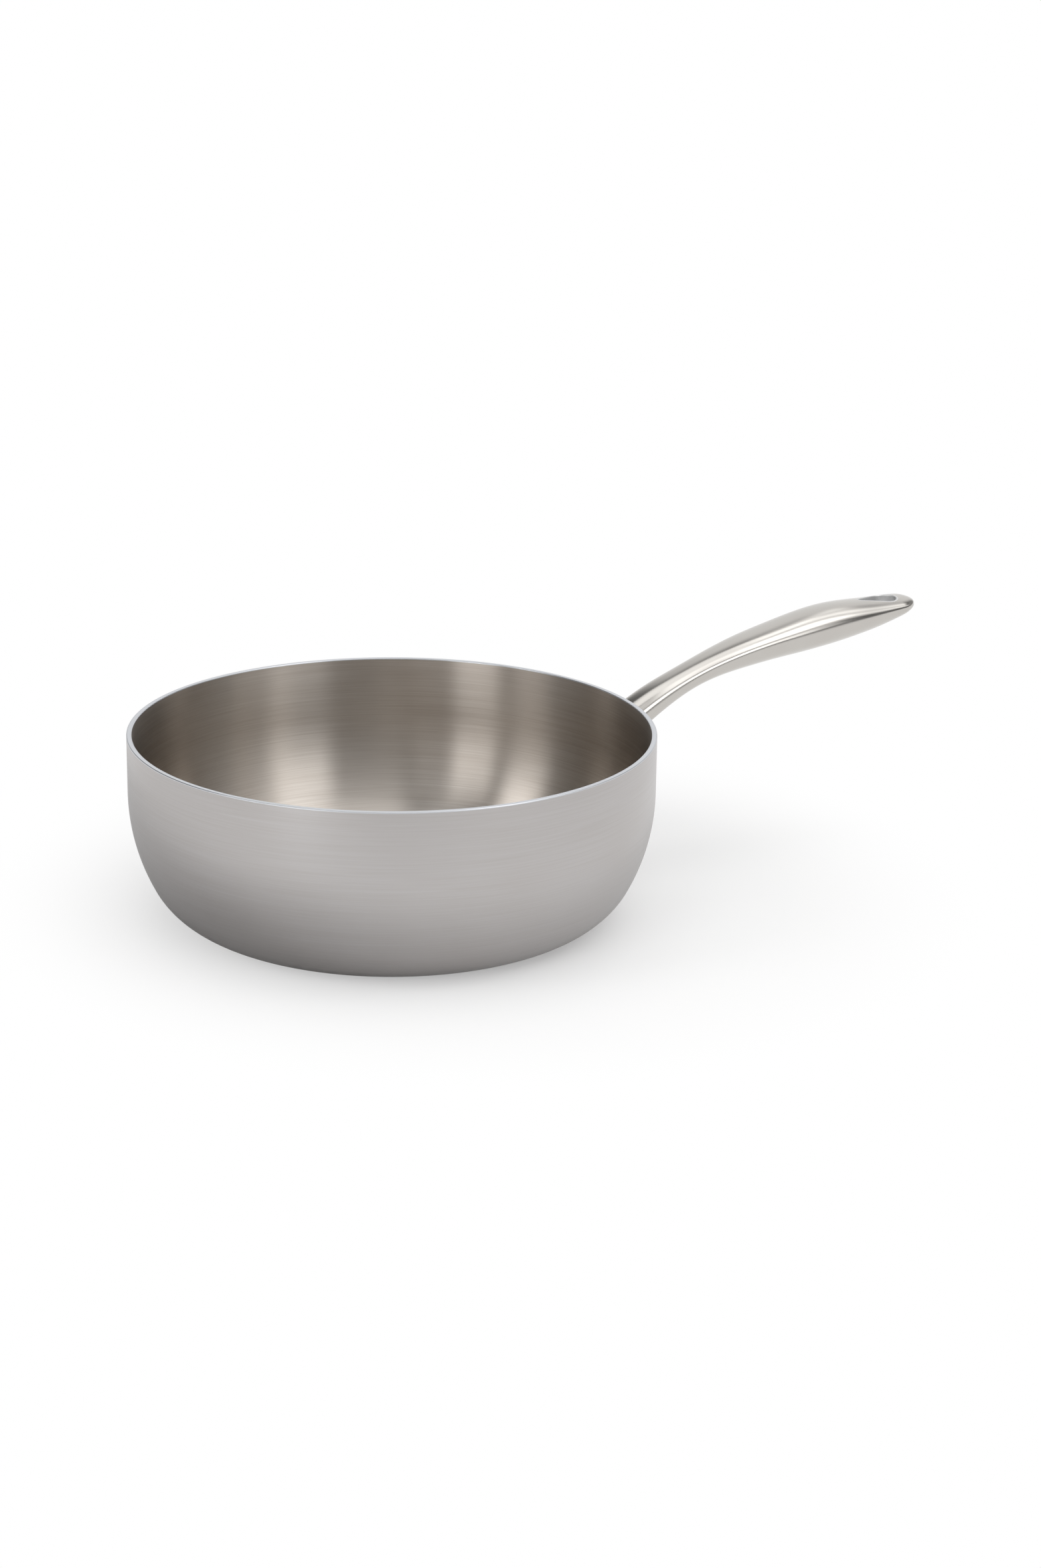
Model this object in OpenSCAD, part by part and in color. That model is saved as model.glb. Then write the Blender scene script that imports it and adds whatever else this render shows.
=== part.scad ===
// Saucier pan in clad stainless steel: a bowl with a straight upper wall and a deep curved
// heel, and a long hollow handle, pressed in two halves, whose foot is welded to the wall.
// Millimetres, +Z up. The origin is the centre of the underside of the flat base, and the
// handle points along +X.

/* [Bowl] */
// Outside diameter of the straight wall
bowl_d = 240; // [230:1:260]
// Height from the base to the rim
bowl_h = 87; // [75:1:110]
// Height of the straight wall below the rim
straight_h = 27; // [20:1:45]
// Distance from the line of the straight wall in to the edge of the flat base
base_inset = 40.75; // [39:0.25:60]
// Outside radius of the heel, the tight curve beside the base
heel_r = 34.5; // [15:0.5:38]
// Radius that eases the inner and outer edges of the cut rim
rim_ease_r = 0.35; // [0.1:0.05:0.4]

/* [Clad sheet] */
// Thickness of the stainless cooking surface
liner_t = 0.4; // [0.4:0.05:0.8]
// Thickness of the aluminium alloy bond inside the core
inner_bond_t = 0.2; // [0.1:0.05:0.4]
// Thickness of the pure aluminium core
core_t = 1.2; // [0.8:0.1:3]
// Thickness of the aluminium alloy bond outside the core
outer_bond_t = 0.2; // [0.1:0.05:0.4]
// Thickness of the magnetic stainless outer shell
shell_t = 0.4; // [0.4:0.05:0.8]

/* [Handle line] */
// Length of the handle along its centre line, from the wall to the tip
handle_l = 191.5; // [180:0.5:215]
// Depth of the centre line below the rim, where it meets the wall
foot_drop = 22.5; // [20:0.5:28]
// Angle above level at which the handle leaves the wall
foot_rise = 28.5; // [20:0.5:34]
// Length of the straight run from the wall to the bend
foot_run = 18; // [10:0.5:26]
// Radius of the long bend
bend_r = 220; // [180:1:260]
// Angle above level of the grip, past the bend
grip_rise = 5.5; // [0:0.5:12]

/* [Handle sections] */
// Width of the handle at the foot, without its flare
foot_w = 19.6; // [16:0.2:24]
// Height above the centre line at the foot
foot_up = 8; // [6:0.1:9]
// Depth below the centre line at the foot
foot_down = 8; // [6:0.1:9]
// Distance along the handle from the wall to the throat
throat_at = 26; // [20:0.5:32]
// Width at the throat
throat_w = 18; // [15:0.2:22]
// Height above the centre line at the throat
throat_up = 7.6; // [6:0.1:9]
// Depth below the centre line at the throat
throat_down = 6; // [5:0.1:8]
// Distance from the wall to the neck, the slimmest place
neck_at = 50; // [42:0.5:60]
// Width at the neck
neck_w = 16.4; // [14:0.2:20]
// Height above the centre line at the neck
neck_up = 6.2; // [5:0.1:8]
// Depth below the centre line at the neck
neck_down = 5.2; // [4.4:0.1:7]
// Distance from the wall to the start of the grip
waist_at = 92; // [80:0.5:105]
// Width at the start of the grip
waist_w = 22; // [18:0.2:26]
// Height above the centre line at the start of the grip
waist_up = 6.9; // [6:0.1:9]
// Depth below the centre line at the start of the grip
waist_down = 8.6; // [6:0.1:10]
// Distance from the wall to the thickest place of the grip
grip_at = 140; // [125:0.5:150]
// Width of the grip there
grip_w = 26.4; // [22:0.2:30]
// Height above the centre line there
grip_up = 9.5; // [7:0.1:11]
// Depth below the centre line there
grip_down = 9.4; // [7:0.1:11]
// Distance from the tip back to the section through the hanging hole
end_back = 19.5; // [16:0.5:24]
// Width at the hanging hole
end_w = 23.2; // [21:0.2:26]
// Height above the centre line at the hanging hole
end_up = 5.2; // [4.5:0.1:7]
// Depth below the centre line at the hanging hole
end_down = 7.8; // [6:0.1:9]
// How square the section is: 2 is an ellipse, and more is squarer
section_power = 2.2; // [2:0.1:2.6]
// Wall thickness of the two pressed halves
handle_wall = 1.5; // [1:0.1:2]

/* [Handle tip] */
// Length over which the sides round in to the tip
tip_side_l = 12; // [8:0.5:16]
// Length over which the top rounds down to the tip
tip_top_l = 6; // [4:0.5:12]
// Length over which the underside sweeps up to the tip
tip_under_l = 34; // [20:0.5:40]

/* [Hanging hole] */
// Distance from the tip back to the centre of the hole's round end
hole_back = 16.5; // [15:0.5:20]
// Radius of the hole's round end
hole_r = 6; // [4:0.1:6.5]
// Radius of the hole's narrow end
hole_point_r = 1.2; // [0.8:0.1:2]
// Distance between the centres of the hole's two ends
hole_taper_l = 14.5; // [10:0.5:18]
// Wall thickness of the sleeve that lines the hole
sleeve_t = 1.2; // [0.8:0.1:1.6]
// Gap between the sleeve and the holes pressed in the two halves
sleeve_gap = 0.1; // [0.05:0.05:0.2]

/* [Foot] */
// Thickness of the foot plate that closes the handle and carries the welds
foot_t = 2.5; // [1.5:0.1:4]
// Gap that the weld nuggets leave between the foot plate and the wall
weld_gap = 0.3; // [0.1:0.05:0.5]
// How far the foot flares out on each side
flare_w = 7; // [3:0.2:8]
// How far the foot flares up and down
flare_h = 5.5; // [3:0.1:6]
// Length over which the flare dies out along the handle
flare_l = 12; // [8:0.5:16]
// Thickness of the square edge at the end of the flare
flare_edge = 1.3; // [0.8:0.1:2]
// Diameter of each weld nugget
nugget_d = 6; // [4:0.5:7]
// Distance between the weld nuggets across the foot
nugget_pitch_w = 16; // [10:0.5:18]
// Distance between the weld nuggets up the foot
nugget_pitch_h = 11; // [8:0.5:13]

/* [Hidden] */
bowl_r = bowl_d / 2;
base_r = bowl_r - base_inset;

// The wall curve is the one arc that is tangent both to the straight wall and to the heel
bend_z = bowl_h - straight_h;
bend_fall = bend_z - heel_r;
bend_in = base_inset - heel_r;
wall_turn = 2 * atan(bend_in / bend_fall);
wall_curve_r = heel_r + bend_fall / sin(wall_turn);
wall_centre = [bowl_r - wall_curve_r, bend_z];
heel_centre = [base_r, heel_r];

// Depth of each face of the clad sheet below the outer face of the bowl
shell_in = shell_t;
outer_bond_in = shell_in + outer_bond_t;
core_in = outer_bond_in + core_t;
inner_bond_in = core_in + inner_bond_t;
liner_in = inner_bond_in + liner_t;

// Stations of the handle: [distance from the wall, size]
end_at = handle_l - end_back;
half_widths = [[0, foot_w / 2], [throat_at, throat_w / 2], [neck_at, neck_w / 2],
               [waist_at, waist_w / 2], [grip_at, grip_w / 2], [end_at, end_w / 2]];
heights_up = [[0, foot_up], [throat_at, throat_up], [neck_at, neck_up],
              [waist_at, waist_up], [grip_at, grip_up], [end_at, end_up]];
depths_down = [[0, foot_down], [throat_at, throat_down], [neck_at, neck_down],
               [waist_at, waist_down], [grip_at, grip_down], [end_at, end_down]];

// The bend's length, and the end of the bend
bend_l = bend_r * (foot_rise - grip_rise) * PI / 180;
bend_end = foot_run + bend_l;
// The first sections stand parallel to the wall and lean over to stand square to the line
lean_l = 24;
// The loft starts inside the wall and is trimmed back to the foot's face
buried_l = 10;
// Rings along the handle and steps round half a section
body_rings = 34;
tip_rings = 14;
half_steps = 18;
body_l = handle_l - tip_under_l;

// Depth inside the bowl's outer face that takes in the whole of the handle's buried end
trim_depth = 2 * buried_l;
// Where the hanging hole lies along the handle
hole_at = handle_l - hole_back;

$fn = 180;

// ---- Bowl ----

// The sheet between two depths below the bowl's outer face, round one centre, below it
module ring_of_sheet(centre, radius, outer, inner) {
    intersection() {
        translate(centre) difference() {
            circle(radius - outer);
            circle(radius - inner);
        }
        translate([centre[0], centre[1] - bowl_d]) square(bowl_d);
    }
}

// The heel's side of the ray on which the wall curve and the heel meet
module heel_side() {
    ray = bowl_d * [cos(wall_turn), -sin(wall_turn)];
    polygon([heel_centre - ray, heel_centre + ray, heel_centre + ray - [0, bowl_d],
             heel_centre - ray - [0, bowl_d]]);
}

// Half section of the sheet between two depths: wall, wall curve, heel and base
module sheet_section(outer, inner) {
    translate([bowl_r - inner, bend_z]) square([inner - outer, straight_h]);
    difference() {
        ring_of_sheet(wall_centre, wall_curve_r, outer, inner);
        heel_side();
    }
    intersection() {
        ring_of_sheet(heel_centre, heel_r, outer, inner);
        heel_side();
    }
    translate([0, outer]) square([base_r, inner - outer]);
}

// The waste outside a rounded edge of the rim; toward is -1 where the metal lies inward of it
module edge_waste(edge_r, toward) {
    translate([edge_r + toward * rim_ease_r, bowl_h - rim_ease_r])
        mirror([toward > 0 ? 1 : 0, 0])
            difference() {
                square(2 * rim_ease_r);
                circle(rim_ease_r);
            }
}

module sheet(outer, inner) {
    rotate_extrude() sheet_section(outer, inner);
}

// ---- Handle ----

// Rise of a list of points from one to the next
function rise(p, i) = (p[i + 1][1] - p[i][1]) / (p[i + 1][0] - p[i][0]);
// Slope of the smooth curve at one of its points
function slope(p, i) =
    i == 0 ? rise(p, 0) :
    i == len(p) - 1 ? rise(p, i - 1) :
    let (before = p[i][0] - p[i - 1][0], after = p[i + 1][0] - p[i][0])
    (rise(p, i - 1) * after + rise(p, i) * before) / (before + after);
function span_at(p, s, i = 0) = i >= len(p) - 2 || s < p[i + 1][0] ? i : span_at(p, s, i + 1);
// Smooth curve through the points, straight before the first and after the last
function smooth(p, s) =
    let (last = len(p) - 1)
    s <= p[0][0] ? p[0][1] + slope(p, 0) * (s - p[0][0]) :
    s >= p[last][0] ? p[last][1] + slope(p, last) * (s - p[last][0]) :
    let (i = span_at(p, s), l = p[i + 1][0] - p[i][0], t = (s - p[i][0]) / l)
    (2 * t ^ 3 - 3 * t ^ 2 + 1) * p[i][1] + (t ^ 3 - 2 * t ^ 2 + t) * l * slope(p, i) +
    (3 * t ^ 2 - 2 * t ^ 3) * p[i + 1][1] + (t ^ 3 - t ^ 2) * l * slope(p, i + 1);

// Angle of the centre line above level, s along it from the wall
function line_rise(s) =
    foot_rise - (min(max(s - foot_run, 0), bend_l) / bend_r) * 180 / PI;
// A point of the centre line: a straight run, the bend, and the straight grip
function line_point(s) =
    let (run = min(s, foot_run), a = line_rise(s), on = max(s - bend_end, 0))
    [bowl_r + run * cos(foot_rise) + bend_r * (sin(foot_rise) - sin(a)) + on * cos(a),
     bowl_h - foot_drop + run * sin(foot_rise) + bend_r * (cos(a) - cos(foot_rise)) +
     on * sin(a)];
// How far a section leans over: none at the wall, square to the line past lean_l
function lean(s) =
    let (t = min(max(s / lean_l, 0), 1)) line_rise(s) * (3 * t ^ 2 - 2 * t ^ 3);
// The foot's flare, a hollow curve that ends in a square edge
function flare(s) =
    let (t = min(max(s, flare_edge) / flare_l, 1)) 1 - sqrt(1 - (1 - t) ^ 2);
// How much of a size is left where it rounds off towards the tip
function tip_left(s, length, inset) =
    let (t = max(s - (handle_l - length), 0) / (length - inset)) sqrt(max(1 - t ^ 2, 0));

// A point of a section, turned round it from the right side over the top; inset moves it in
function skin_point(s, turn, inset) =
    let (c = cos(turn), v = sin(turn), p = 2 / section_power,
         side = (smooth(half_widths, s) + flare_w * flare(s) - inset) *
                tip_left(s, tip_side_l, inset),
         up = (smooth(heights_up, s) + flare_h * flare(s) - inset) *
              tip_left(s, tip_top_l, inset),
         down = (smooth(depths_down, s) + flare_h * flare(s) - inset) *
                tip_left(s, tip_under_l, inset),
         y = side * sign(c) * abs(c) ^ p,
         h = (v > 0 ? up : down) * sign(v) * abs(v) ^ p,
         on = line_point(s))
    [on[0] - h * sin(lean(s)), y, on[1] + h * cos(lean(s))];

// Places of the rings: even along the body, and closer and closer towards the tip
function ring_places(inset) =
    concat([for (i = [0 : body_rings]) -buried_l + (body_l + buried_l) * i / body_rings],
           [for (i = [1 : tip_rings - 1])
               body_l + (tip_under_l - inset) * sin(90 * i / tip_rings)]);
function ring(s, from, to, steps, inset) =
    [for (i = [0 : steps]) skin_point(s, from + (to - from) * i / steps, inset)];
function tip_point(inset) =
    let (p = line_point(handle_l - inset)) [p[0], 0, p[1]];

// Triangles of a net of rings, each with n points, from point number first
function net(first, rings, n, flip) =
    [for (k = [0 : rings - 2], i = [0 : n - 2])
        let (a = first + k * n + i, b = a + 1, c = a + n, d = c + 1)
        each flip ? [[a, b, d], [a, d, c]] : [[a, d, b], [a, c, d]]];
// Triangles that join two rows of n points, each row given by its first number and step
function strip(first, first_step, second, second_step, n, flip) =
    [for (i = [0 : n - 2])
        let (a = first + i * first_step, b = a + first_step,
             c = second + i * second_step, d = c + second_step)
        each flip ? [[a, b, d], [a, d, c]] : [[a, d, b], [a, c, d]]];
// Triangles from the last ring to the tip's own point
function cap(first, n, tip, flip) =
    [for (i = [0 : n - 2])
        flip ? [first + i, first + i + 1, tip] : [first + i, tip, first + i + 1]];

// One pressed half: an outer net and an inner net, joined along the seam and at the foot
module half_shell(from, to) {
    outer_places = ring_places(0);
    rings = len(outer_places);
    n = half_steps + 1;
    outer = [for (s = outer_places) each ring(s, from, to, half_steps, 0)];
    inner = [for (s = ring_places(handle_wall)) each ring(s, from, to, half_steps, handle_wall)];
    outer_tip = rings * n;
    inner_first = outer_tip + 1;
    inner_tip = inner_first + rings * n;
    last = (rings - 1) * n;
    polyhedron(
        points = concat(outer, [tip_point(0)], inner, [tip_point(handle_wall)]),
        faces = concat(
            net(0, rings, n, false),
            cap(last, n, outer_tip, false),
            net(inner_first, rings, n, true),
            cap(inner_first + last, n, inner_tip, true),
            strip(0, 1, inner_first, 1, n, true),
            strip(0, n, inner_first, n, rings, false),
            strip(n - 1, n, inner_first + n - 1, n, rings, true),
            [[last, inner_tip, outer_tip], [last, inner_first + last, inner_tip],
             [last + n - 1, outer_tip, inner_tip],
             [last + n - 1, inner_tip, inner_first + last + n - 1]]));
}

// The handle's whole outer form between two places, as a solid to trim other pieces with
module solid_handle(low, high) {
    places = [for (s = ring_places(0)) if (s >= low && s <= high) s];
    rings = len(places);
    n = 2 * half_steps;
    last = (rings - 1) * n;
    near = line_point(places[0]);
    far = line_point(places[rings - 1]);
    middle = rings * n;
    polyhedron(
        points = concat(
            [for (s = places, i = [0 : n - 1]) skin_point(s, 360 * i / n, 0)],
            [[near[0], 0, near[1]], [far[0], 0, far[1]]]),
        faces = concat(
            [for (k = [0 : rings - 2], i = [0 : n - 1])
                let (a = k * n + i, b = k * n + (i + 1) % n, c = a + n, d = b + n)
                each [[a, d, b], [a, c, d]]],
            [for (i = [0 : n - 1]) [middle, i, (i + 1) % n]],
            [for (i = [0 : n - 1]) [middle + 1, last + (i + 1) % n, last + i]]));
}

// The teardrop outline of the hanging hole, grown by a wall or a gap, point towards the bowl
module teardrop(grow) {
    big = hole_r + grow;
    small = hole_point_r + grow;
    s = (big - small) / hole_taper_l;
    c = sqrt(1 - s ^ 2);
    point = [-hole_taper_l, 0];
    circle(big);
    translate(point) circle(small);
    polygon([big * [-s, c], point + small * [-s, c],
             point + small * [-s, -c], big * [-s, -c]]);
}

// The hole's outline as a prism through the handle, square to the grip
module teardrop_prism(grow) {
    on = line_point(hole_at);
    prism_h = 4 * (grip_up + grip_down);
    translate([on[0], 0, on[1]]) rotate([0, -grip_rise, 0])
        linear_extrude(prism_h, center = true) teardrop(grow);
}

module pressed_half(from, to) {
    difference() {
        half_shell(from, to);
        sheet(-foot_t - weld_gap, trim_depth);
        teardrop_prism(sleeve_t + sleeve_gap);
    }
}

// ---- Pieces ----

module cooking_surface() {
    color("gainsboro") rotate_extrude() difference() {
        sheet_section(inner_bond_in, liner_in);
        edge_waste(bowl_r - liner_in, 1);
    }
}

module inner_bond_layer() {
    color("lightsteelblue") sheet(core_in, inner_bond_in);
}

module aluminium_core() {
    color("lightgray") sheet(outer_bond_in, core_in);
}

module outer_bond_layer() {
    color("lightsteelblue") sheet(shell_in, outer_bond_in);
}

module outer_shell() {
    color("darkgray") rotate_extrude() difference() {
        sheet_section(0, shell_in);
        edge_waste(bowl_r, -1);
    }
}

module foot_plate() {
    color("silver") intersection() {
        solid_handle(-buried_l, flare_l + foot_t);
        sheet(-foot_t - weld_gap, -weld_gap);
    }
}

module weld_nuggets() {
    on = line_point(0);
    color("dimgray") intersection() {
        for (y = [-1, 1], z = [-1, 1])
            translate([on[0], y * nugget_pitch_w / 2, on[1] + z * nugget_pitch_h / 2])
                rotate([0, 90, 0]) cylinder(d = nugget_d, h = 2 * trim_depth, center = true);
        sheet(-weld_gap, 0);
    }
}

module handle_upper_half() {
    color("whitesmoke") pressed_half(0, 180);
}

module handle_lower_half() {
    color("silver") pressed_half(180, 360);
}

module hanging_hole_sleeve() {
    color("gray") difference() {
        intersection() {
            solid_handle(hole_at - hole_taper_l - 2 * hole_r, handle_l);
            teardrop_prism(sleeve_t);
        }
        teardrop_prism(0);
    }
}

cooking_surface();
inner_bond_layer();
aluminium_core();
outer_bond_layer();
outer_shell();
foot_plate();
weld_nuggets();
handle_upper_half();
handle_lower_half();
hanging_hole_sleeve();
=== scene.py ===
import math

import bpy
import numpy as np
from mathutils import Matrix, Vector

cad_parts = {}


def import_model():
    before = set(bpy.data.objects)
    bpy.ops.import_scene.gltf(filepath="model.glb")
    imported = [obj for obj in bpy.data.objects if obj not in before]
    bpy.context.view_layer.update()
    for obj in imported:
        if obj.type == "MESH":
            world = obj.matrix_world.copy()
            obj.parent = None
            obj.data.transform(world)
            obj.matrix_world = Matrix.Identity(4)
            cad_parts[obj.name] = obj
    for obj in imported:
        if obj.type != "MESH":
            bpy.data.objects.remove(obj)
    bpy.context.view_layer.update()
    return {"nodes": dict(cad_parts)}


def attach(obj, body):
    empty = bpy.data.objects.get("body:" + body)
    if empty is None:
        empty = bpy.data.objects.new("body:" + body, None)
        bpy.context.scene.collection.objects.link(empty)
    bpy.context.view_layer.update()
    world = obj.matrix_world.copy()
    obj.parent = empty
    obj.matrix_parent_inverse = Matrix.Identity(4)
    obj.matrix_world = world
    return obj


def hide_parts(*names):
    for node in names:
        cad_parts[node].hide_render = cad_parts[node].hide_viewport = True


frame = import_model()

MM = 0.001

# ---- Sizes of the pan, in millimetres: the CAD model's, and two edges that it leaves square ----

BOWL_R = 120.0
BOWL_H = 87.0
STRAIGHT_H = 27.0
BASE_R = 79.25
HEEL_R = 34.5
RIM_EASE_R = 0.35
# Depth of each face of the clad sheet inside the bowl's outer face
SHELL_IN = 0.4
OUTER_BOND_IN = 0.6
CORE_IN = 1.8
INNER_BOND_IN = 2.0
LINER_IN = 2.4

HANDLE_L = 191.5
FOOT_DROP = 22.5
FOOT_RISE = math.radians(28.5)
FOOT_RUN = 18.0
BEND_R = 220.0
GRIP_RISE = math.radians(5.5)
BEND_L = BEND_R * (FOOT_RISE - GRIP_RISE)
# Stations of the handle: distance from the wall, half width, height above and depth below
STATIONS = np.array([
    (0.0, 9.8, 8.0, 8.0),
    (26.0, 9.0, 7.6, 6.0),
    (50.0, 8.2, 6.2, 5.2),
    (92.0, 11.0, 6.9, 8.6),
    (140.0, 13.2, 9.5, 9.4),
    (172.0, 11.6, 5.2, 7.8),
])
SECTION_POWER = 2.2
HANDLE_WALL = 1.5
LEAN_L = 24.0
TIP_SIDE_L = 12.0
TIP_TOP_L = 6.0
TIP_UNDER_L = 34.0
HOLE_AT = HANDLE_L - 16.5
HOLE_R = 6.0
HOLE_POINT_R = 1.2
HOLE_TAPER_L = 14.5
SLEEVE_T = 1.2
FOOT_T = 2.5
# Radii of the sleeve's and the foot plate's rolled edges, which only the scene has
SLEEVE_EDGE_R = 0.6
FOOT_EDGE_R = 0.4
# Gap between the foot plate and the wall, which the weld nuggets bridge
WELD_GAP = 0.3
# The handle's foot flares by this much, over this length, and ends in a square edge
FLARE_W = 7.0
FLARE_H = 5.5
FLARE_L = 12.0
FLARE_EDGE = 1.3

# The wall curve is tangent both to the straight wall and to the heel
BEND_Z = BOWL_H - STRAIGHT_H
BEND_FALL = BEND_Z - HEEL_R
WALL_TURN = 2 * math.atan((BOWL_R - BASE_R - HEEL_R) / BEND_FALL)
WALL_CURVE_R = HEEL_R + BEND_FALL / math.sin(WALL_TURN)


# ---- Materials ----

def linear(hex_colour):
    """An sRGB hex colour as a linear RGBA colour."""
    parts = [int(hex_colour[i:i + 2], 16) / 255 for i in (1, 3, 5)]
    return [c / 12.92 if c <= 0.04045 else ((c + 0.055) / 1.055) ** 2.4 for c in parts] + [1.0]


def add(tree, kind, inputs=None, **settings):
    """Adds a node. inputs gives a value, or the output socket to link, for each input."""
    node = tree.nodes.new(kind)
    for name, value in settings.items():
        setattr(node, name, value)
    for key, value in (inputs or {}).items():
        if isinstance(value, bpy.types.NodeSocket):
            tree.links.new(value, node.inputs[key])
        else:
            node.inputs[key].default_value = value
    return node


def ramp(tree, factor, stops):
    """A colour ramp of grey values over factor."""
    node = add(tree, "ShaderNodeValToRGB", {"Fac": factor})
    elements = node.color_ramp.elements
    while len(elements) < len(stops):
        elements.new(1.0)
    for element, (place, value) in zip(elements, stops):
        element.position = place
        element.color = (value, value, value, 1.0)
    return node.outputs["Color"]


def metal(name, colour, roughness, **sockets):
    """A new metal with its Principled shader, ready for its patterns."""
    material = bpy.data.materials.new(name)
    material.use_nodes = True
    tree = material.node_tree
    shader = tree.nodes["Principled BSDF"]
    shader.inputs["Base Color"].default_value = linear(colour)
    shader.inputs["Metallic"].default_value = 1.0
    shader.inputs["Roughness"].default_value = roughness
    for key, value in sockets.items():
        shader.inputs[key.replace("_", " ")].default_value = value
    return material, tree, shader


def object_place(tree):
    """The object's own coordinates, in metres."""
    return add(tree, "ShaderNodeTexCoord").outputs["Object"]


def round_the_bowl(tree, pitch_mm, streak):
    """Coordinates for lines that run round the bowl's axis, pitch_mm apart up its profile.

    streak is how many times a line breaks up on its way round, roughly.
    """
    place = object_place(tree)
    axes = add(tree, "ShaderNodeSeparateXYZ", {0: place})
    flat = add(tree, "ShaderNodeVectorMath", {0: place, 1: (1.0, 1.0, 0.0)}, operation="MULTIPLY")
    out = add(tree, "ShaderNodeVectorMath", {0: flat.outputs[0]}, operation="NORMALIZE")
    radius = add(tree, "ShaderNodeVectorMath", {0: flat.outputs[0]}, operation="LENGTH")
    along = add(tree, "ShaderNodeMath", {0: axes.outputs["Z"], 1: radius.outputs["Value"]},
                operation="ADD")
    line = add(tree, "ShaderNodeMath", {0: along.outputs[0], 1: 1 / (pitch_mm * MM)},
               operation="MULTIPLY")
    around = add(tree, "ShaderNodeVectorMath", {0: out.outputs[0], "Scale": streak},
                 operation="SCALE")
    parts = add(tree, "ShaderNodeSeparateXYZ", {0: around.outputs[0]})
    return add(tree, "ShaderNodeCombineXYZ", {
        "X": parts.outputs["X"], "Y": parts.outputs["Y"], "Z": line.outputs[0]}).outputs[0]


def tangent_round(tree):
    """The direction round the bowl's axis, which brushed lines follow."""
    cross = add(tree, "ShaderNodeVectorMath", {0: (0.0, 0.0, 1.0), 1: object_place(tree)},
                operation="CROSS_PRODUCT")
    return add(tree, "ShaderNodeVectorMath", {0: cross.outputs[0]},
               operation="NORMALIZE").outputs[0]


def noise(tree, vector, scale, detail, roughness):
    """A noise texture's value."""
    return add(tree, "ShaderNodeTexNoise", {
        "Vector": vector, "Scale": scale, "Detail": detail, "Roughness": roughness}).outputs[0]


def blend(tree, factor, low, high):
    """A colour that goes from low to high with the factor."""
    # A Mix node has an A and a B for each kind of value, so they are given by number
    return add(tree, "ShaderNodeMix", {"Factor": factor, 6: low, 7: high},
               data_type="RGBA").outputs[2]


def dress(tree, shader, colour, rough_by, least, most, relief, bump, **span):
    """Links the shader's colour, its roughness from least to most, and its bump.

    rough_by and relief are the patterns of the last two; span is where rough_by counts.
    """
    strength, depth_mm = bump
    rough = add(tree, "ShaderNodeMapRange", {"Value": rough_by, "To Min": least, "To Max": most})
    for key, value in span.items():
        rough.inputs[key.replace("_", " ")].default_value = value
    raised = add(tree, "ShaderNodeBump", {
        "Height": relief, "Strength": strength, "Distance": depth_mm * MM})
    tree.links.new(colour, shader.inputs["Base Color"])
    tree.links.new(rough.outputs[0], shader.inputs["Roughness"])
    tree.links.new(raised.outputs[0], shader.inputs["Normal"])


# Most of a noise texture's values lie between these
NOISE_SPAN = {"From_Min": 0.3, "From_Max": 0.7}
# Strength of a bump and its depth in millimetres
LINE_BUMP = (0.1, 0.06)
FAINT_BUMP = (0.03, 0.01)

# The belt's grit leaves lines of about 0.1 mm; they are drawn this far apart to show
LINE_PITCH_MM = 0.7
LINE_STREAK = 2.2
# Longer scratches from stacking and stirring
SCRATCH_PITCH_MM = 2.2
SCRATCH_STREAK = 0.9
# Share of the clouds in the steel's tone; the rest is the brushed lines
CLOUD_SHARE = 0.35
# The cut rim is dressed on a finer belt, so it is a little lighter and has no lines
CUT_EDGE = "#d2d4d8"
CUT_EDGE_FROM = BOWL_H - 1.5 * RIM_EASE_R


def brushed(name, light, dark, roughness, spread, anisotropic, cloud_mm):
    """Stainless steel brushed round the bowl: fine lines that stretch each reflection up
    and down the wall, a few longer scratches, clouds where the belt pressed harder, and a
    plain cut rim."""
    # The quarter turn stretches reflections across the lines
    material, tree, shader = metal(
        name, light, roughness, Anisotropic=anisotropic, Anisotropic_Rotation=0.25)
    tree.links.new(tangent_round(tree), shader.inputs["Tangent"])
    lines = round_the_bowl(tree, LINE_PITCH_MM, LINE_STREAK)
    fine = noise(tree, lines, scale=1.0, detail=3.0, roughness=0.6)
    long_lines = round_the_bowl(tree, SCRATCH_PITCH_MM, SCRATCH_STREAK)
    long_line = noise(tree, long_lines, scale=1.0, detail=1.0, roughness=0.5)
    # Only the noise's peaks count, so that the scratches are thin and few
    scratch = ramp(tree, long_line, [(0.66, 0.0), (0.74, 1.0)])
    cloud = noise(tree, object_place(tree), scale=1 / (cloud_mm * MM), detail=1.0,
                  roughness=0.5)
    worn = add(tree, "ShaderNodeMix", {"Factor": CLOUD_SHARE, 2: fine, 3: cloud},
               data_type="FLOAT")
    tone = ramp(tree, worn.outputs[0], [(0.36, 0.0), (0.64, 1.0)])
    lit = add(tree, "ShaderNodeMath", {0: tone, 1: scratch}, operation="MAXIMUM").outputs[0]
    height = add(tree, "ShaderNodeSeparateXYZ", {0: object_place(tree)}).outputs["Z"]
    rim = add(tree, "ShaderNodeMath", {0: height, 1: CUT_EDGE_FROM * MM},
              operation="GREATER_THAN").outputs[0]
    body = blend(tree, lit, linear(dark), linear(light))
    dress(tree, shader, blend(tree, rim, body, linear(CUT_EDGE)), rough_by=cloud,
          least=roughness - spread, most=roughness + spread, relief=fine, bump=LINE_BUMP,
          **NOISE_SPAN)
    return material


# Buffing leaves a haze in patches about this wide, and hairlines this far apart
HAZE_MM = 15
HAIRLINE_MM = 0.3
# Share by which the haze moves the roughness
HAZE_SPREAD = 0.1
# Hairlines are drawn out along the handle
HAIRLINE_STRETCH = (0.02, 1.0, 1.0)


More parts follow.
